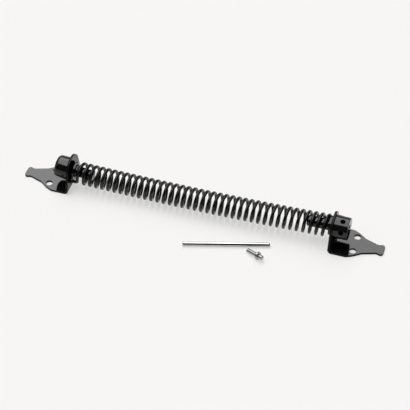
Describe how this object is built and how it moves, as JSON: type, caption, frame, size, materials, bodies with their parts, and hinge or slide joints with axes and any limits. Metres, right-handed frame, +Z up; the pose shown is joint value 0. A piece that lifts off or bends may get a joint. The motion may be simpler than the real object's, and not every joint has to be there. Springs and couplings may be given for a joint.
{
  "type": "gate spring closer",
  "caption": "Torsion spring gate closer: a long coil spring between two bent screw plates, a winding drum at the gate end, and a loose tension rod and locking pin.",
  "frame": {"origin": "on the mounting plane, midway between the two plates' ears, below the spring's axis", "axes": "+X along the spring to the gate end with the winding drum, +Z up from the mounting plane"},
  "size_m": [0.399, 0.0766, 0.0371],
  "materials": {
    "black_paint": "gloss",
    "zinc": "bright zinc plate",
    "acetal": "satin"
  },
  "bodies": {
    "post_side": {"post_bracket": "black_paint", "anchor_spindle": "black_paint", "anchor_drum": "black_paint", "anchor_drum_pin": "zinc", "torsion_spring": "black_paint"},
    "winder": {"winding_spindle": "black_paint", "winding_drum": "black_paint", "winding_drum_pin": "zinc"},
    "gate_side": {"gate_bracket": "black_paint", "gate_bush": "acetal"},
    "tension_rod": {"tension_rod": "zinc"},
    "locking_pin": {"locking_pin": "zinc"}
  },
  "joints": [
    {"name": "spring_twist", "type": "hinge", "parent": "post_side", "child": "winder", "pos_m": [0, 0, 0.02155], "axis": [1, 0, 0], "range_deg": [-165, 0], "stiffness_Nm_per_rad": 0.57, "deforming": ["torsion_spring"]},
    {"name": "winder_turn", "type": "hinge", "parent": "winder", "child": "gate_side", "pos_m": [0.1437, 0, 0.02155], "axis": [1, 0, 0], "continuous": true},
    {"name": "rod_lift", "type": "slide", "parent": "post_side", "child": "tension_rod", "axis": [0, 0, 1], "range_m": [0, 0.06]},
    {"name": "pin_lift", "type": "slide", "parent": "post_side", "child": "locking_pin", "axis": [0, 0, 1], "range_m": [0, 0.06]}
  ]
}
